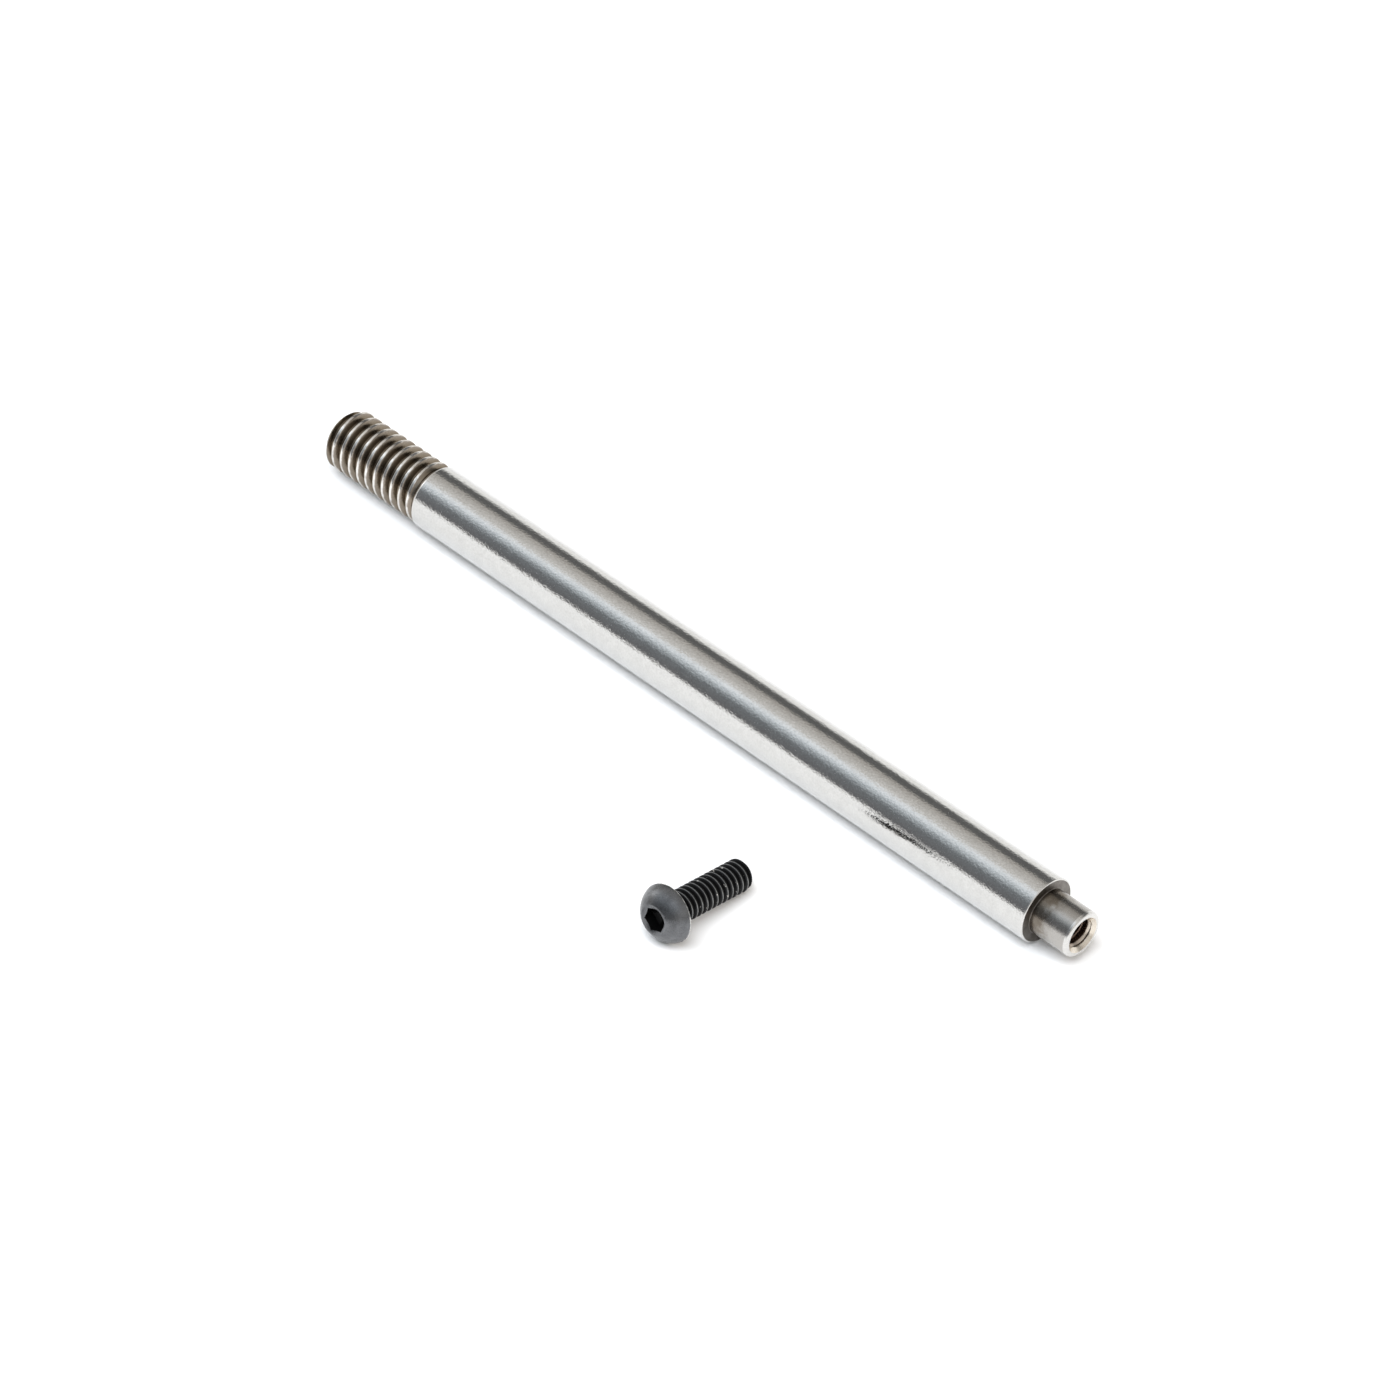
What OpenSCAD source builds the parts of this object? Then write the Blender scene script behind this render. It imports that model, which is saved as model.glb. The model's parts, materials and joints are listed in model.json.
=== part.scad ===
// Piston shaft for a small oil-filled shock absorber, with the loose button head
// screw that clamps the piston to it.
// Millimetres, +Z up. The shaft lies along X with its tapped spigot towards +X, and
// the origin is on its axis at the shoulder that the piston sits against.
// The screw lies beside the shaft, on the same surface.

/* [Shaft body] */
// Diameter of the polished body
body_d = 4; // [3:0.5:6]
// Length of the polished body, from the rod-end shoulder to the piston shoulder
body_l = 48; // [20:1:90]
// Chamfer on the piston shoulder
shoulder_chamfer = 0.12; // [0.05:0.01:0.25]
// Chamfer where the body meets the rod-end thread
body_chamfer = 0.2; // [0.1:0.05:0.3]

/* [Rod-end thread] */
// Diameter over the crests of the M4 x 0.7 thread
rod_thread_d = 3.8; // [3.7:0.05:3.95]
// Pitch of the rod-end thread
rod_pitch = 0.7; // [0.6:0.05:0.8]
// Length of the threaded end
rod_thread_l = 7.6; // [5:0.1:12]
// How much lower the last, fading crest beside the body is
rod_run_out = 0.05; // [0:0.01:0.1]
// Depth of the rod-end thread
rod_thread_depth = 0.36; // [0.3:0.02:0.4]

/* [Piston spigot] */
// Diameter of the spigot that the piston fits over
spigot_d = 2.8; // [2.6:0.1:3]
// Length of the spigot
spigot_l = 2.65; // [1.5:0.05:4]
// Chamfer on the spigot's end
spigot_chamfer = 0.2; // [0.05:0.05:0.2]
// Diameter of the tapped hole's wall, between its grooves
tap_d = 1.6; // [1.5:0.05:1.65]
// Depth of the tapped hole, from the spigot's end to the drill point
tap_depth = 7.5; // [7:0.1:12]
// Diameter of the countersink at the mouth of the tapped hole
tap_mouth_d = 2.2; // [2.1:0.05:2.3]

/* [Button head screw] */
// Diameter over the crests of the M2 x 0.4 thread
screw_d = 1.9; // [1.85:0.01:1.98]
// Pitch of the screw and of the tapped hole
screw_pitch = 0.4; // [0.35:0.05:0.45]
// Length of the screw under its head
screw_l = 5.9; // [4:0.1:8]
// Depth of the screw's thread
screw_thread_depth = 0.21; // [0.18:0.01:0.22]
// Diameter of the head
head_d = 3.45; // [3.2:0.05:3.5]
// Height of the head
head_h = 1.15; // [1.1:0.05:1.3]
// Height of the straight rim below the dome
head_rim_h = 0.1; // [0.05:0.05:0.2]
// Diameter of the flat top around the socket
head_flat_d = 1.8; // [1.7:0.05:2]
// Width across flats of the hex socket
hex_af = 1.3; // [1.25:0.01:1.3]
// Diameter of the bevel around the socket's mouth
hex_mouth_d = 1.7; // [1.6:0.02:1.7]
// Depth of the hex socket
hex_depth = 0.75; // [0.6:0.05:0.8]
// Bevel on the screw's tip
tip_bevel = 0.25; // [0.2:0.05:0.4]

/* [Layout] */
// Distance of the screw's head behind the piston shoulder, along the shaft
screw_back = 14; // [5:0.05:40]
// Distance of the screw's head from the shaft's axis
screw_out = 14.85; // [12:0.05:40]
// Turn of the screw on the surface, away from square to the shaft
screw_heading = 0.8; // [-45:0.1:45]
// Turn of the screw about its own axis
screw_turn = 40; // [0:1:359]

/* [Hidden] */

steel = [0.72, 0.72, 0.73];
black_oxide = [0.12, 0.12, 0.14];

round_fn = 96;          // facets of a round face in the preview
steps = 24;             // straight steps in one turn of the screw's thread
flank = tan(30);        // the threads are 60 degree metric threads
rod_root_flat = 0.1;    // flat at the root of a rod-end groove, as a share of the pitch
screw_root_flat = 0.25; // the same for the screw's groove
past = 0.1;             // how far a cutter runs past the surface, for the groove as a share of the pitch
tap_groove_depth = 0.2; // depth of the grooves in the tapped hole
tap_plain_l = 1.2;      // untapped stretch at the bottom of the tapped hole

// The screw lies on its head's rim and on the last full crest of its thread.
tilt = atan((head_d - screw_d) / 2 / (screw_l - tip_bevel));

// Half the width of a groove at its root, and at a given height above its root.
function half_width(pitch, root_flat, height) = root_flat * pitch / 2 + height * flank;

// The shaft's thread grooves are rings, so that the wall between them is a true
// cylinder. This is the outline of n of them, one pitch apart, the first one a pitch
// above z0. The far side of the last one rises to the radius fading.
function rod_grooves(r, depth, pitch, z0, n, fading) =
    let (root = half_width(pitch, rod_root_flat, 0), top = half_width(pitch, rod_root_flat, depth))
    [for (i = [1:n])
        let (z = z0 + i * pitch, crest = i < n ? r : fading)
        each [
            [r, z - top], [r - depth, z - root],
            [r - depth, z + root], [crest, z + half_width(pitch, rod_root_flat, depth - r + crest)]
        ]];

// The same for a hole of radius r, with sharp grooves.
function tap_grooves(r, depth, pitch, z0, n) =
    [for (i = [1:n])
        let (z = z0 + i * pitch)
        each [[r, z - depth * flank], [r + depth, z], [r, z + depth * flank]]];

// The turned blank, along Z, with the piston shoulder at z = 0.
module shaft_blank() {
    r = body_d / 2;
    rt = rod_thread_d / 2;
    rs = spigot_d / 2;
    free_end = -body_l - rod_thread_l;
    n = floor((rod_thread_l - half_width(rod_pitch, rod_root_flat, rod_thread_depth) - 0.05) / rod_pitch);
    rotate_extrude($fn = round_fn)
        polygon(concat(
            [[0, free_end], [rt - rod_thread_depth, free_end], [rt, free_end + rod_thread_depth]],
            rod_grooves(rt, rod_thread_depth, rod_pitch, free_end, n, rt - rod_run_out),
            [
                [r - body_chamfer, -body_l],
                [r, -body_l + body_chamfer],
                [r, -shoulder_chamfer],
                [r - shoulder_chamfer, 0],
                [rs, 0],
                [rs, spigot_l - spigot_chamfer],
                [rs - spigot_chamfer, spigot_l],
                [0, spigot_l]
            ]
        ));
}

// What the drill, the tap and the countersink take out of the spigot's end.
module tapped_hole() {
    r = tap_d / 2;
    bottom = spigot_l - tap_depth;
    mouth = tap_mouth_d / 2 - r;
    tapped_from = bottom + tap_plain_l;
    n = floor((spigot_l - mouth - tapped_from - tap_groove_depth * flank - 0.05) / screw_pitch);
    rotate_extrude($fn = round_fn)
        polygon(concat(
            [[0, bottom - r * flank], [r, bottom]],
            tap_grooves(r, tap_groove_depth, screw_pitch, tapped_from, n),
            [
                [r, spigot_l - mouth],
                [r + mouth, spigot_l],
                [r + mouth, spigot_l + 1],
                [0, spigot_l + 1]
            ]
        ));
}

module shock_shaft() {
    color(steel)
        rotate([0, 90, 0])
            difference() {
                shaft_blank();
                tapped_hole();
            }
}

// A solid that cuts one right-hand thread groove into a rod of radius r, along Z
// from z0 up to z1. Each ring of four points is the groove's cross-section.
module helical_groove(r, depth, pitch, z0, z1) {
    n = ceil((z1 - z0) / pitch * steps);
    out = past * pitch;
    root = half_width(pitch, screw_root_flat, 0);
    top = half_width(pitch, screw_root_flat, depth + out);
    section = [[r + out, -top], [r - depth, -root], [r - depth, root], [r + out, top]];
    points = [for (i = [0:n], p = section)
        [p[0] * cos(360 * i / steps), p[0] * sin(360 * i / steps), z0 + i * pitch / steps + p[1]]];
    sides = [for (i = [0:n - 1], k = [0:3])
        let (a = 4 * i + k, b = 4 * i + (k + 1) % 4)
        each [[a, b + 4, b], [a, a + 4, b + 4]]];
    ends = [[3, 1, 2], [3, 0, 1], [4 * n, 4 * n + 2, 4 * n + 1], [4 * n, 4 * n + 3, 4 * n + 2]];
    polyhedron(points, concat(sides, ends), convexity = 20);
}

// The screw along Z, with the underside of its head at z = 0 and its tip upwards.
module screw() {
    r = screw_d / 2;
    rim_r = head_d / 2;
    flat_r = head_flat_d / 2;
    // the dome is the sphere through the top of the rim and the edge of the flat top
    centre = (pow(flat_r, 2) + pow(head_h, 2) - pow(rim_r, 2) - pow(head_rim_h, 2))
        / (2 * (head_h - head_rim_h));
    dome_r = sqrt(pow(rim_r, 2) + pow(head_rim_h - centre, 2));
    hex_r = hex_af / 2 / cos(30);
    mouth_r = hex_mouth_d / 2;
    difference() {
        union() {
            intersection() {
                translate([0, 0, -centre]) sphere(r = dome_r, $fn = round_fn);
                translate([0, 0, -head_h]) cylinder(r = rim_r, h = head_h, $fn = round_fn);
            }
            translate([0, 0, -0.2]) cylinder(r = r, h = screw_l - tip_bevel + 0.2, $fn = round_fn);
            translate([0, 0, screw_l - tip_bevel])
                cylinder(r1 = r, r2 = r - tip_bevel, h = tip_bevel, $fn = round_fn);
        }
        helical_groove(r, screw_thread_depth, screw_pitch, screw_pitch * 0.6, screw_l + screw_pitch);
        translate([0, 0, -head_h - 1]) cylinder(r = hex_r, h = 1 + hex_depth, $fn = 6);
        translate([0, 0, -head_h - past * flank])
            cylinder(r1 = mouth_r + past, r2 = 0, h = (mouth_r + past) * flank, $fn = round_fn);
        translate([0, 0, -head_h + hex_depth - 0.01])
            cylinder(r1 = hex_af / 2, r2 = 0, h = hex_af / 2 * tan(30), $fn = round_fn);
    }
}

module button_head_screw() {
    color(black_oxide)
        translate([-screw_back, -screw_out, -body_d / 2 + head_d / 2 * cos(tilt)])
            rotate([-90 - tilt, 0, screw_heading])
                rotate([0, 0, screw_turn])
                    screw();
}

shock_shaft();
button_head_screw();
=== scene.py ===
"""Looks for a shock absorber piston shaft and the loose button head screw beside it.

Lengths are worked out in millimetres and turned into metres as each mesh is made.
Both pieces are built along their own +Z: the shaft with its piston shoulder at z = 0
and its tapped spigot upwards, the screw with the underside of its head at z = 0 and
its tip upwards.
"""

import json
import math

import bmesh
import bpy
from mathutils import Matrix, Vector


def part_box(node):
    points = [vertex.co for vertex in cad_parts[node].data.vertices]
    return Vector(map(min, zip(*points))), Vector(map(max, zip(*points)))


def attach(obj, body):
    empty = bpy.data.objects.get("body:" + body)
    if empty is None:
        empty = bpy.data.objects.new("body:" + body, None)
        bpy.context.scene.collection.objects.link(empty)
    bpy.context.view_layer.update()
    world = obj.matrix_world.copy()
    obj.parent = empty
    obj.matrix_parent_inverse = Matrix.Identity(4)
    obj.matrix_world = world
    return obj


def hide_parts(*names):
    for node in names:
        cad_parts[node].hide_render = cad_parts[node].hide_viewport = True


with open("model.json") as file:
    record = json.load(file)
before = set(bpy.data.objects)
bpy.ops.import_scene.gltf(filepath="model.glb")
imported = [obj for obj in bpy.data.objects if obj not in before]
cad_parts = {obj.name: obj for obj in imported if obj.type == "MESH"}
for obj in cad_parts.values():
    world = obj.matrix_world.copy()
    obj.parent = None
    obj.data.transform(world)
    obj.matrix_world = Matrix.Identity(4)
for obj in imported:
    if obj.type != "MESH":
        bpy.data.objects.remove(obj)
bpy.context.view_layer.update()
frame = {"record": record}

MM = 0.001
TURN = 2 * math.pi
FLANK = math.tan(math.radians(30))  # all threads are 60 degree metric threads

# ---------------------------------------------------------------- sizes, in mm
mounts = {m["name"]: m for m in frame["record"]["mounts"]}


def size(mount, key):
    return mounts[mount]["dims"][key]


shaft_low, shaft_high = (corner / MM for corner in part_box("shock_shaft"))
BODY_R = size("seal_surface", "r_mm")
ROD_R = size("rod_end_thread", "r_mm")
SPIGOT_R = size("piston_spigot", "r_mm")
TAP_R = size("tapped_hole", "r_mm")
FREE_END = shaft_low.x
SPIGOT_END = shaft_high.x
FLOOR_Z = shaft_low.z

ROD_PITCH, ROD_DEPTH = 0.7, 0.36
BODY_END = -48.0  # where the body meets the rod-end thread
BODY_CHAMFER = 0.2
SHOULDER_ROUND = 0.09
SPIGOT_CHAMFER = SPIGOT_END - size("piston_spigot", "length_mm")
SPIGOT_FILLET = 0.04
TAP_PITCH, TAP_DEPTH = 0.4, 0.2
MOUTH_R = 1.1
TAP_BOTTOM = SPIGOT_END - 7.5  # above the drill point
TAPPED_FROM = TAP_BOTTOM + 1.2  # the bottom of the hole is left plain

SCREW_R, SCREW_L, SCREW_DEPTH = 0.95, 5.9, 0.21
HEAD_R, HEAD_H, HEAD_RIM = 1.725, 1.15, 0.1
HEAD_FLAT_R, RIM_ROUND = 0.9, 0.05
HEX_AF, HEX_DEPTH = 1.3, 0.75
HEX_MOUTH_R = 0.85  # outer radius of the bevel around the socket
TIP_BEVEL = 0.25
SCREW_TURN = math.radians(40)  # turn of the screw about its own axis
BEARING_POINT = 1.35  # how far to the side the record's bearing point is from the axis

AROUND = 144  # columns of a mesh, once around


# ------------------------------------------------------------- turned surfaces
class Turned:
    """A mesh of surfaces turned about Z. Neighbouring surfaces share their end rings."""

    def __init__(self):
        self.points, self.faces, self.slots = [], [], []

    def ring(self, r, z):
        """Adds one ring of points. r and z are numbers, or functions of the angle."""
        first = len(self.points)
        for j in range(AROUND):
            a = TURN * j / AROUND
            rr = r(a) if callable(r) else r
            zz = z(a) if callable(z) else z
            self.points.append((rr * math.cos(a), rr * math.sin(a), zz))
        return first

    def band(self, low, high, slot):
        """Joins two rings with quads."""
        for j in range(AROUND):
            k = (j + 1) % AROUND
            self.faces.append((low + j, low + k, high + k, high + j))
            self.slots.append(slot)

    def lathe(self, outline, slot):
        """Turns an outline of (r, z) points. A point at r = 0 closes the surface."""
        rings = [self.ring(r, z) for r, z in outline]
        for low, high in zip(rings, rings[1:]):
            self.band(low, high, slot)

    def helix(self, z0, z1, pitch, radius, slot, rows, sense=1):
        """A right-hand thread from z0 up to z1, with its rows along the helix, rows to a pitch.

        radius(phase, z) gives the surface at a phase of 0 to 1 within the pitch. At z0
        and z1 it must not depend on the phase, so that the thread ends in plain rings.
        A sense of -1 makes it the inside of a hole.
        """
        count = math.ceil((z1 - z0) / pitch * rows) + 2 * rows
        first = len(self.points)
        for i in range(count + 1):
            for j in range(AROUND):
                z = z0 + pitch * (i / rows - 1 + j / AROUND)
                z = min(max(z, z0), z1)
                r = radius((i / rows) % 1.0, z)
                a = TURN * j / AROUND
                self.points.append((r * math.cos(a), r * math.sin(a), z))

        def index(i, j):
            if j == AROUND:
                i, j = (i + rows, 0) if i + rows <= count else (i, 0)
            return first + i * AROUND + j

        for i in range(count):
            for j in range(AROUND):
                quad = (index(i, j), index(i, j + 1), index(i + 1, j + 1), index(i + 1, j))
                self.faces.append(quad if sense > 0 else quad[::-1])
                self.slots.append(slot)

    def build(self, name, materials, place):
        """Makes the object, merging rings that meet and dropping empty faces."""
        mesh = bpy.data.meshes.new(name)
        mesh.from_pydata([place @ (Vector(p) * MM) for p in self.points], [], self.faces)
        for material in materials:
            mesh.materials.append(material)
        mesh.polygons.foreach_set("material_index", self.slots)
        work = bmesh.new()
        work.from_mesh(mesh)
        bmesh.ops.remove_doubles(work, verts=work.verts, dist=1e-7)
        bmesh.ops.dissolve_degenerate(work, edges=work.edges, dist=1e-8)
        bmesh.ops.recalc_face_normals(work, faces=work.faces)
        work.to_mesh(mesh)
        work.free()
        mesh.shade_smooth()
        mesh.set_sharp_from_angle(angle=math.radians(32))
        piece = bpy.data.objects.new(name, mesh)
        bpy.context.scene.collection.objects.link(piece)
        return piece


def smooth_ramp(x, soft):
    """0 below 0 and 1 above 1, with both corners rounded over a width of soft."""

    def corner(t):
        if t <= -soft:
            return 0.0
        if t >= soft:
            return t
        return (t + soft) ** 2 / (4 * soft)

    return corner(x) - corner(x - 1)


def thread_height(phase, pitch, depth, root_flat, soft):
    """Height of a 60 degree thread above its root, as a share of its depth.

    root_flat is the flat at the root as a share of the pitch.
    """
    from_root = (0.5 - abs(phase - 0.5)) * pitch
    rise = (from_root - root_flat * pitch / 2) / (depth * FLANK)
    return min(1.0, max(0.0, smooth_ramp(rise, soft)))


def between(z, z0, z1, r0, r1):
    """Straight line from (z0, r0) to (z1, r1), held level outside them."""
    t = min(max((z - z0) / (z1 - z0), 0.0), 1.0)
    return r0 + (r1 - r0) * t


def arc(cx, cz, r, from_deg, to_deg, steps):
    """Points of an arc in the (r, z) plane, with angles measured from +r towards +z."""
    angles = [math.radians(from_deg + (to_deg - from_deg) * i / steps) for i in range(steps + 1)]
    return [(cx + r * math.cos(a), cz + r * math.sin(a)) for a in angles]


# ------------------------------------------------------------------ materials
def new_material(name):
    material = bpy.data.materials.new(name)
    material.use_nodes = True
    nodes, links = material.node_tree.nodes, material.node_tree.links
    return material, nodes, links, nodes["Principled BSDF"]


def millimetres(nodes, links):
    """The point's place on the object in mm."""
    where = nodes.new("ShaderNodeTexCoord")
    scale = nodes.new("ShaderNodeVectorMath")
    scale.operation = "MULTIPLY"
    scale.inputs[1].default_value = (1 / MM, 1 / MM, 1 / MM)
    links.new(where.outputs["Object"], scale.inputs[0])
    return scale.outputs[0]


def new_metal(name, metallic=1.0):
    """A new material of metal, and where its points are in mm."""
    material, nodes, links, bsdf = new_material(name)
    bsdf.inputs["Metallic"].default_value = metallic
    return material, nodes, links, bsdf, millimetres(nodes, links)


def noise(nodes, links, where, per_mm, detail, roughness):
    texture = nodes.new("ShaderNodeTexNoise")
    texture.inputs["Scale"].default_value = per_mm
    texture.inputs["Detail"].default_value = detail
    texture.inputs["Roughness"].default_value = roughness
    links.new(where, texture.inputs["Vector"])
    return texture.outputs["Fac"]


def spread(nodes, links, value, low, high, to_low, to_high):
    """Maps value from low..high to to_low..to_high, clamped."""
    node = nodes.new("ShaderNodeMapRange")
    for i, v in enumerate((low, high, to_low, to_high)):
        node.inputs[i + 1].default_value = v
    links.new(value, node.inputs[0])
    return node.outputs[0]


def tint(nodes, links, value, stops):
    """A colour ramp through (position, rgb) stops."""
    ramp = nodes.new("ShaderNodeValToRGB")
    elements = ramp.color_ramp.elements
    while len(elements) < len(stops):
        elements.new(0.5)
    for element, (position, colour) in zip(elements, stops):
        element.position = position
        element.color = (*colour, 1)
    links.new(value, ramp.inputs[0])
    return ramp.outputs[0]


def mix(nodes, links, share, first, second):
    """first where share is 0 and second where it is 1. second may be a plain colour."""
    node = nodes.new("ShaderNodeMix")
    node.data_type = "RGBA"
    links.new(share, node.inputs[0])
    links.new(first, node.inputs[6])
    if isinstance(second, tuple):
        node.inputs[7].default_value = (*second, 1)
    else:
        links.new(second, node.inputs[7])
    return node.outputs[2]


def bump(nodes, links, bsdf, height, depth_mm):
    node = nodes.new("ShaderNodeBump")
    node.inputs["Strength"].default_value = 1.0
    node.inputs["Distance"].default_value = depth_mm * MM
    links.new(height, node.inputs["Height"])
    links.new(node.outputs[0], bsdf.inputs["Normal"])


def parts(nodes, links, vector):
    """The X, Y and Z of a vector."""
    node = nodes.new("ShaderNodeSeparateXYZ")
    links.new(vector, node.inputs[0])
    return node.outputs


def from_axis(nodes, links, where, point, direction):
    """Distance in mm from the line through point along direction."""
    arm = nodes.new("ShaderNodeVectorMath")
    arm.operation = "SUBTRACT"
    links.new(where, arm.inputs[0])
    arm.inputs[1].default_value = tuple(point)
    across = nodes.new("ShaderNodeVectorMath")
    across.operation = "CROSS_PRODUCT"
    links.new(arm.outputs[0], across.inputs[0])
    across.inputs[1].default_value = tuple(direction)
    length = nodes.new("ShaderNodeVectorMath")
    length.operation = "LENGTH"
    links.new(across.outputs[0], length.inputs[0])
    return length.outputs["Value"]


def add(nodes, links, a, b, share=1.0):
    """a times share, plus b."""
    node = nodes.new("ShaderNodeMath")
    node.operation = "MULTIPLY_ADD"
    links.new(a, node.inputs[0])
    node.inputs[1].default_value = share
    links.new(b, node.inputs[2])
    return node.outputs[0]


def polished_steel():
    """Ground and polished bar: nearly a mirror, with fine grain and tiny pits."""
    material, nodes, links, bsdf, where = new_metal("polished_steel")
    grain = noise(nodes, links, where, 9.0, 3.0, 0.6)
    cloud = add(nodes, links, noise(nodes, links, where, 1.5, 4.0, 0.6),
                spread(nodes, links, grain, 0.3, 0.7, -0.4, 0.4))
    links.new(tint(nodes, links, cloud, [(0.1, (0.525, 0.52, 0.505)), (0.9, (0.62, 0.615, 0.60))]),
              bsdf.inputs["Base Color"])
    pits = noise(nodes, links, where, 13.0, 1.0, 0.5)
    rough = add(nodes, links, spread(nodes, links, pits, 0.66, 0.76, 0.0, 1.0),
                spread(nodes, links, grain, 0.3, 0.7, 0.035, 0.07), 0.22)
    links.new(rough, bsdf.inputs["Roughness"])
    bump(nodes, links, bsdf, noise(nodes, links, where, 7.0, 2.0, 0.6), 0.013)
    return material


def turned_steel():
    """Plain turned steel of the spigot: duller than the body, and darker and browner towards its root
    at the shoulder.
    """
    material, nodes, links, bsdf, where = new_metal("turned_steel")
    mottle = noise(nodes, links, where, 2.2, 4.0, 0.6)
    along = parts(nodes, links, where)["X"]
    from_shoulder = add(nodes, links, along, spread(nodes, links, mottle, 0.3, 0.7, -0.45, 0.35))
    # darker and browner over the first 1.6 mm from the shoulder, with a mottled edge
    links.new(tint(nodes, links, spread(nodes, links, from_shoulder, 0.0, 1.6, 0.0, 1.0), [
        (0.0, (0.12, 0.10, 0.08)),
        (0.38, (0.18, 0.158, 0.132)),
        (0.7, (0.31, 0.295, 0.275)),
        (1.0, (0.39, 0.375, 0.355))]), bsdf.inputs["Base Color"])
    grain = noise(nodes, links, where, 9.0, 3.0, 0.6)
    links.new(spread(nodes, links, grain, 0.3, 0.7, 0.16, 0.30), bsdf.inputs["Roughness"])
    bump(nodes, links, bsdf, grain, 0.006)
    return material


def face_steel():
    """The piston shoulder's face: slightly brown, and dark as painted shade for the shadowed floor that
    it reflects.
    """
    material, nodes, links, bsdf, where = new_metal("face_steel")
    mottle = noise(nodes, links, where, 1.8, 4.0, 0.6)
    links.new(tint(nodes, links, mottle, [(0.3, (0.105, 0.092, 0.08)), (0.7, (0.20, 0.185, 0.168))]),
              bsdf.inputs["Base Color"])
    grain = noise(nodes, links, where, 9.0, 3.0, 0.6)
    links.new(spread(nodes, links, grain, 0.3, 0.7, 0.3, 0.42), bsdf.inputs["Roughness"])
    bump(nodes, links, bsdf, grain, 0.004)
    return material


def edge_steel():
    """Chamfers and the end ring: bright and smooth."""
    material, nodes, links, bsdf, where = new_metal("edge_steel")
    grain = noise(nodes, links, where, 10.0, 3.0, 0.6)
    links.new(tint(nodes, links, grain, [(0.3, (0.56, 0.55, 0.53)), (0.7, (0.66, 0.65, 0.63))]),
              bsdf.inputs["Base Color"])
    links.new(spread(nodes, links, grain, 0.3, 0.7, 0.18, 0.28), bsdf.inputs["Roughness"])
    return material


def bore_steel():
    """Countersink and inside of the tapped hole: painted shade, dark brown deep in the hole and pale
    cream at the mouth; the thread's crests catch the light.
    """
    material, nodes, links, bsdf, where = new_metal("bore_steel")
    along = parts(nodes, links, where)["X"]
    # painted shade: dark brown from 0.6 mm inside the mouth downwards, pale cream over the last 0.2 mm
    depth = spread(nodes, links, along, SPIGOT_END - 0.6, SPIGOT_END - 0.2, 0.0, 1.0)
    links.new(tint(nodes, links, depth, [(0.0, (0.20, 0.14, 0.11)), (1.0, (0.66, 0.60, 0.52))]),
              bsdf.inputs["Base Color"])
    grain = noise(nodes, links, where, 8.0, 3.0, 0.6)
    links.new(spread(nodes, links, grain, 0.3, 0.7, 0.22, 0.34), bsdf.inputs["Roughness"])
    return material


def rolled_thread(root_r, crest_r):
    """Rolled thread of the rod end: brown grooves, darker as painted shade, and rubbed crests, made
    brighter than the polished body as a painted highlight.
    """
    material, nodes, links, bsdf, where = new_metal("rolled_thread")
    bsdf.inputs["Specular Tint"].default_value = (0.45, 0.42, 0.38, 1)
    radius = from_axis(nodes, links, where, (0, 0, 0), (1, 0, 0))
    height = spread(nodes, links, radius, root_r, crest_r, 0.0, 1.0)
    mottle = noise(nodes, links, where, 3.0, 4.0, 0.65)
    wear_and_painted_light = add(nodes, links, spread(nodes, links, mottle, 0.3, 0.7, -0.06, 0.06), height)
    # painted shade in the grooves and a painted highlight on the crests, over the brown tone, wear and
    # mottle
    links.new(tint(nodes, links, wear_and_painted_light, [
        (0.05, (0.165, 0.135, 0.10)),
        (0.50, (0.21, 0.175, 0.135)),
        (0.88, (0.26, 0.225, 0.19)),
        (1.00, (0.78, 0.76, 0.73))]), bsdf.inputs["Base Color"])
    links.new(spread(nodes, links, height, 0.6, 1.0, 0.22, 0.13), bsdf.inputs["Roughness"])
    grain = noise(nodes, links, where, 8.0, 3.0, 0.6)
    bump(nodes, links, bsdf, grain, 0.005)
    return material


def black_oxide():
    """Black oxide on the screw's head: a dark satin skin."""
    material, nodes, links, bsdf, where = new_metal("black_oxide", metallic=0.9)
    cloud = noise(nodes, links, where, 1.6, 4.0, 0.6)
    links.new(tint(nodes, links, cloud, [(0.3, (0.088, 0.090, 0.094)), (0.7, (0.158, 0.161, 0.168))]),
              bsdf.inputs["Base Color"])
    grain = noise(nodes, links, where, 11.0, 3.0, 0.6)
    links.new(spread(nodes, links, grain, 0.3, 0.7, 0.24, 0.36), bsdf.inputs["Roughness"])
    bump(nodes, links, bsdf, grain, 0.003)
    return material


def rubbed_edge():
    """The rim of the screw's head: a painted highlight, patches of bright steel for the light that its
    edge catches.
    """
    material, nodes, links, bsdf, where = new_metal("rubbed_edge")
    highlight_patches = noise(nodes, links, where, 3.0, 4.0, 0.6)
    links.new(tint(nodes, links, highlight_patches, [(0.35, (0.16, 0.16, 0.165)), (0.6, (0.60, 0.59, 0.57))]),
              bsdf.inputs["Base Color"])
    bsdf.inputs["Roughness"].default_value = 0.25
    return material


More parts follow.
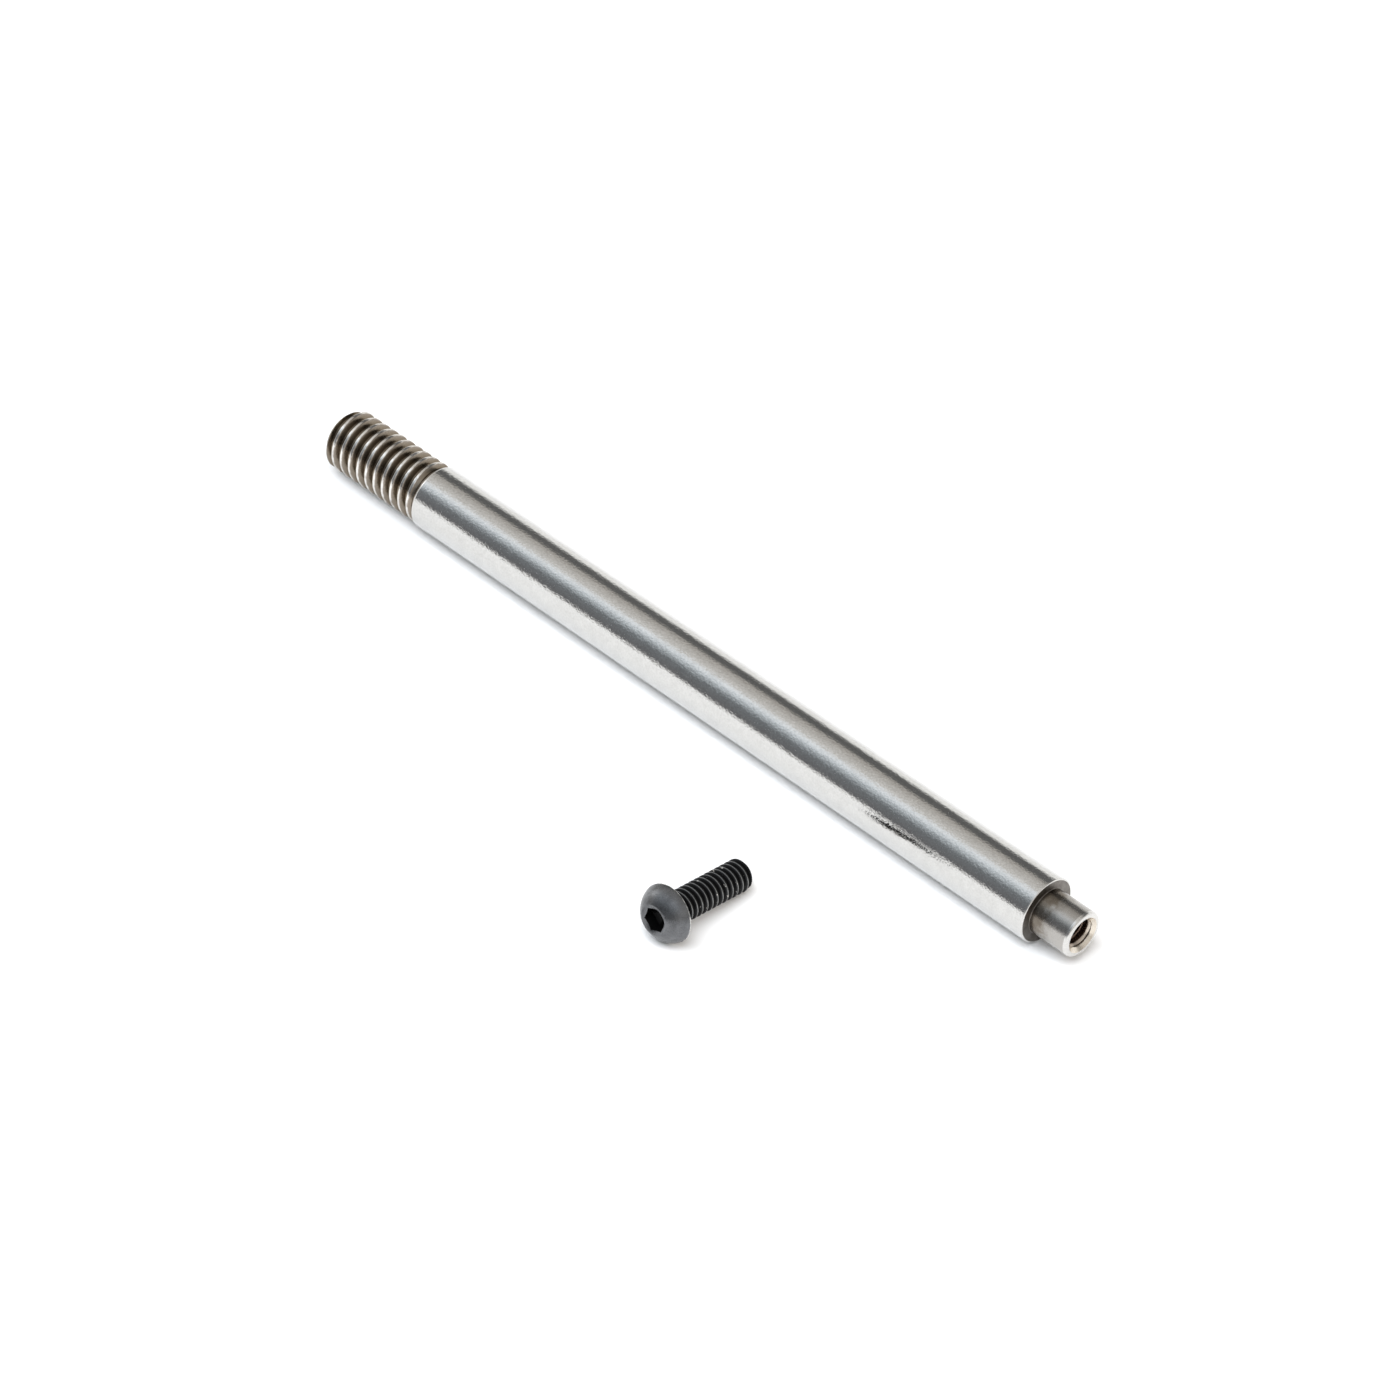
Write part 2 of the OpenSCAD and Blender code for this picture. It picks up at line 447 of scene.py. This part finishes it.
def oiled_thread(point, direction, root_r, crest_r):
    """The screw's thread: near black, with grey rubbed crests and a few bright flecks."""
    material, nodes, links, bsdf, where = new_metal("oiled_thread", metallic=0.7)
    bsdf.inputs["Specular Tint"].default_value = (0.4, 0.4, 0.4, 1)
    radius = from_axis(nodes, links, where, point, direction)
    height = spread(nodes, links, radius, root_r, crest_r, 0.0, 1.0)
    skin = tint(nodes, links, height, [
        (0.30, (0.010, 0.010, 0.010)),
        (0.76, (0.018, 0.018, 0.019)),
        (0.92, (0.055, 0.055, 0.057)),
        (1.0, (0.21, 0.21, 0.206))])
    bare = mix(nodes, links, spread(nodes, links, height, 0.3, 0.6, 0.0, 1.0), skin, (0.52, 0.50, 0.47))
    flecks = spread(nodes, links, noise(nodes, links, where, 4.0, 2.0, 0.5), 0.69, 0.72, 0.0, 1.0)
    links.new(mix(nodes, links, flecks, skin, bare), bsdf.inputs["Base Color"])
    links.new(spread(nodes, links, height, 0.5, 1.0, 0.3, 0.24), bsdf.inputs["Roughness"])
    return material


# ----------------------------------------------------------------- the shaft
BODY, THREAD, TURNED, FACE, EDGE, BORE = range(6)


def make_shaft():
    root = ROD_R - ROD_DEPTH
    foot = BODY_R - BODY_CHAMFER
    mouth_z = SPIGOT_END - (MOUTH_R - TAP_R)

    def rod_thread(phase, z):
        # next to the body the groove fades out, and the crests come down to the body's foot
        fade, bevel, seam = (BODY_END - back for back in (0.6, 0.25, 0.1))
        groove = ROD_DEPTH * between(z, fade, seam, 1.0, 0.3)
        r = ROD_R - groove * (1 - thread_height(phase, ROD_PITCH, ROD_DEPTH, root_flat=0.2, soft=0.16))
        r = min(r, between(z, bevel, BODY_END, ROD_R, foot))
        if z > seam:
            r = between(z, seam, BODY_END, r, foot)
        # the free end is chamfered at 45 degrees
        return min(r, between(z, FREE_END, FREE_END + ROD_R, root, root + ROD_R))

    def tap_thread(phase, z):
        # the groove starts at nothing, and is half as deep in the countersink
        groove = TAP_DEPTH * between(z, TAPPED_FROM, TAPPED_FROM + 0.5, 0.0, 1.0)
        groove *= between(z, mouth_z - 0.4, mouth_z + 0.1, 1.0, 0.5)
        r = TAP_R + groove * (1 - thread_height(phase, TAP_PITCH, TAP_DEPTH, root_flat=0.25, soft=0.16))
        return max(r, between(z, mouth_z, SPIGOT_END, TAP_R, MOUTH_R))  # countersink

    shaft = Turned()
    shaft.lathe([(0, FREE_END), (root, FREE_END)], THREAD)
    shaft.helix(FREE_END, BODY_END, ROD_PITCH, rod_thread, THREAD, rows=32)
    shaft.lathe(arc(foot, BODY_END + BODY_CHAMFER, BODY_CHAMFER, -90, 0, 6), EDGE)
    shaft.lathe([(BODY_R, BODY_END + BODY_CHAMFER), (BODY_R, -SHOULDER_ROUND)], BODY)
    shaft.lathe(arc(BODY_R - SHOULDER_ROUND, -SHOULDER_ROUND, SHOULDER_ROUND, 0, 90, 6), EDGE)
    fillet = arc(SPIGOT_R + SPIGOT_FILLET, SPIGOT_FILLET, SPIGOT_FILLET, 270, 180, 5)
    shaft.lathe([(BODY_R - SHOULDER_ROUND, 0), fillet[0]], FACE)
    shaft.lathe(fillet, FACE)
    shaft.lathe([fillet[-1], (SPIGOT_R, SPIGOT_END - SPIGOT_CHAMFER)], TURNED)
    shaft.lathe([*arc(SPIGOT_R - SPIGOT_CHAMFER, SPIGOT_END - SPIGOT_CHAMFER, SPIGOT_CHAMFER, 0, 90, 6),
                 (MOUTH_R, SPIGOT_END)], EDGE)
    shaft.helix(TAPPED_FROM, SPIGOT_END, TAP_PITCH, tap_thread, BORE, rows=16, sense=-1)
    shaft.lathe([(TAP_R, TAPPED_FROM), (TAP_R, TAP_BOTTOM), (0, TAP_BOTTOM - TAP_R * FLANK)], BORE)
    along_x = Matrix.Rotation(math.pi / 2, 4, "Y")
    return shaft.build("piston_shaft", [
        polished_steel(), rolled_thread(root, ROD_R), turned_steel(), face_steel(),
        edge_steel(), bore_steel()], along_x)


# ----------------------------------------------------------------- the screw
HEAD, RIM, OILED = range(3)


def make_screw():
    root = SCREW_R - SCREW_DEPTH
    centre = (HEAD_FLAT_R**2 + HEAD_H**2 - HEAD_R**2 - HEAD_RIM**2) / (2 * (HEAD_H - HEAD_RIM))
    dome_r = math.hypot(HEAD_R, HEAD_RIM - centre)

    def screw_thread(phase, z):
        r = root + SCREW_DEPTH * thread_height(phase, TAP_PITCH, SCREW_DEPTH, root_flat=0.25, soft=0.14)
        r = min(r, between(z, 0, 0.05, root, SCREW_R + 0.05))
        return min(r, between(z, SCREW_L - TIP_BEVEL, SCREW_L, SCREW_R, SCREW_R - TIP_BEVEL))

    def hex_r(a):
        return HEX_AF / 2 / math.cos((a % (TURN / 6)) - TURN / 12)

    def hex_mouth_z(a):
        return -HEAD_H + (HEX_MOUTH_R - hex_r(a)) * FLANK

    screw = Turned()
    # the head, from the thread outwards, over the dome and down into the socket
    dome_from = math.degrees(math.atan2(HEAD_RIM - centre, HEAD_R))
    dome_to = math.degrees(math.atan2(HEAD_H - centre, HEAD_FLAT_R))
    dome = [(r, -z) for r, z in arc(0, centre, dome_r, dome_from, dome_to, 18)]
    screw.lathe([(root, 0), (HEAD_R - RIM_ROUND, 0)], HEAD)
    screw.lathe([*arc(HEAD_R - RIM_ROUND, -RIM_ROUND, RIM_ROUND, 90, 0, 4), dome[0]], RIM)
    screw.lathe([*dome, (HEX_MOUTH_R, -HEAD_H)], HEAD)
    socket_z = -HEAD_H + HEX_DEPTH
    rings = [screw.ring(HEX_MOUTH_R, -HEAD_H), screw.ring(hex_r, hex_mouth_z),
             screw.ring(hex_r, socket_z), screw.ring(0, socket_z + HEX_AF / 2 * FLANK)]
    for low, high, slot in zip(rings, rings[1:], (HEAD, OILED, OILED)):
        screw.band(low, high, slot)
    screw.helix(0, SCREW_L, TAP_PITCH, screw_thread, OILED, rows=22)
    screw.lathe([(SCREW_R - TIP_BEVEL, SCREW_L), (0, SCREW_L)], OILED)

    bearing = mounts["screw_bearing_face"]
    towards_tip = Vector(bearing["axis"])
    tilt = math.asin(-towards_tip.z)
    heading = Matrix.Rotation(math.atan2(-towards_tip.x, towards_tip.y), 4, "Z")
    head = Vector(bearing["pos_m"]) - heading @ Vector((BEARING_POINT * MM, 0, 0))
    place = (Matrix.Translation(head) @ heading @ Matrix.Rotation(-math.pi / 2 - tilt, 4, "X")
             @ Matrix.Rotation(SCREW_TURN, 4, "Z"))
    return screw.build("clamp_screw", [
        black_oxide(), rubbed_edge(), oiled_thread(head / MM, towards_tip, root, SCREW_R)], place)


shaft = make_shaft()
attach(shaft, "shaft")
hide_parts("shock_shaft")

screw = make_screw()
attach(screw, "screw")
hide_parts("button_head_screw")


# ---------------------------------------------------------- floor and lights
def make_floor():
    mesh = bpy.data.meshes.new("floor")
    half = 3.0  # metres
    z = FLOOR_Z * MM
    corners = [(-half, -half, z), (half, -half, z), (half, half, z), (-half, half, z)]
    mesh.from_pydata(corners, [], [(0, 1, 2, 3)])
    material, nodes, links, bsdf = new_material("floor_white")
    bsdf.inputs["Base Color"].default_value = (0.9, 0.9, 0.9, 1)
    bsdf.inputs["Roughness"].default_value = 1.0
    bsdf.inputs["Specular IOR Level"].default_value = 0.0
    mesh.materials.append(material)
    floor = bpy.data.objects.new("floor", mesh)
    bpy.context.scene.collection.objects.link(floor)


def make_surroundings():
    """The studio as the steel reflects it, by direction: white low down, a dark gap
    behind the shaft, a pale ceiling, a soft box above and a dark side by the camera.
    Past the spigot's end it is plain and pale, and past the free end of the thread a
    second, brighter soft box stands high up."""
    world = bpy.data.worlds.new("studio")
    bpy.context.scene.world = world
    world.use_nodes = True
    nodes, links = world.node_tree.nodes, world.node_tree.links
    background = nodes["Background"]
    where = nodes.new("ShaderNodeTexCoord")
    towards = parts(nodes, links, where.outputs["Generated"])
    turn = nodes.new("ShaderNodeMath")
    turn.operation = "ARCTAN2"
    links.new(towards["Z"], turn.inputs[0])
    links.new(towards["Y"], turn.inputs[1])
    share = nodes.new("ShaderNodeMath")  # 0 is straight behind, 0.5 is up, 1 is towards the front
    share.operation = "DIVIDE"
    links.new(turn.outputs[0], share.inputs[0])
    share.inputs[1].default_value = math.pi
    bands = tint(nodes, links, share.outputs[0], [
        (0.105, (1.26, 1.26, 1.24)),
        (0.147, (0.18, 0.18, 0.18)),
        (0.29, (0.17, 0.17, 0.17)),
        (0.335, (0.56, 0.535, 0.50)),
        (0.53, (0.90, 0.89, 0.87)),
        (0.59, (1.16, 1.21, 1.27)),
        (0.62, (1.10, 1.17, 1.24)),
        (0.70, (0.62, 0.68, 0.73)),
        (0.78, (0.24, 0.26, 0.28)),
        (0.955, (0.20, 0.20, 0.21)),
        (0.98, (1.0, 1.0, 1.0))])
    pale, bright = (0.85, 0.83, 0.80), (3.2, 3.2, 3.2)
    far_end = tint(nodes, links, share.outputs[0], [
        (0.48, pale), (0.54, bright), (0.66, bright), (0.74, pale)])
    past_spigot = spread(nodes, links, towards["X"], 0.55, 0.9, 0.0, 1.0)
    past_thread = spread(nodes, links, towards["X"], -0.72, -0.92, 0.0, 1.0)
    near = mix(nodes, links, past_spigot, bands, pale)
    links.new(mix(nodes, links, past_thread, near, far_end), background.inputs["Color"])


def area_light(name, place, aim, width, height, power, colour):
    light = bpy.data.lights.new(name, "AREA")
    light.shape = "RECTANGLE"
    light.size, light.size_y = width, height
    light.energy = power
    light.color = colour
    lamp = bpy.data.objects.new(name, light)
    lamp.location = place
    lamp.rotation_euler = (Vector(aim) - Vector(place)).to_track_quat("-Z", "Y").to_euler()
    bpy.context.scene.collection.objects.link(lamp)
    return lamp


make_floor()
make_surroundings()
for lamp in (area_light("key", (0.02, -0.30, 0.62), (0, 0, 0), 0.6, 0.45, 4.8, (0.94, 0.965, 1.0)),
             area_light("back", (0.62, 0.34, 0.50), (0, 0, 0), 0.5, 0.5, 2.4, (1.0, 0.90, 0.80))):
    lamp.visible_glossy = False  # the steel reflects the surroundings alone


# ---------------------------------------------------------------- the camera
AZIMUTH, ELEVATION, ROLL = (math.radians(v) for v in (42.98, 40.93, -2.82))
AIM = Vector((-24.91, -1.46, 0.01)) * MM
DISTANCE = 346.9 * MM
SENSOR, LENS = 36.0, 159.7  # width and focal length, in mm as Blender takes them


def make_camera():
    back = Vector((math.sin(AZIMUTH) * math.cos(ELEVATION),
                   -math.cos(AZIMUTH) * math.cos(ELEVATION), math.sin(ELEVATION)))
    level = Vector((math.cos(AZIMUTH), math.sin(AZIMUTH), 0))
    upright = back.cross(level)
    right = level * math.cos(ROLL) - upright * math.sin(ROLL)
    up = upright * math.cos(ROLL) + level * math.sin(ROLL)
    lens = bpy.data.cameras.new("camera")
    lens.sensor_width = SENSOR
    lens.lens = LENS
    lens.clip_start, lens.clip_end = 0.01, 20.0
    camera = bpy.data.objects.new("camera", lens)
    camera.matrix_world = (Matrix.Translation(AIM + back * DISTANCE)
                           @ Matrix((right, up, back)).transposed().to_4x4())
    bpy.context.scene.collection.objects.link(camera)
    bpy.context.scene.camera = camera


make_camera()
bpy.context.scene.view_settings.view_transform = "Standard"
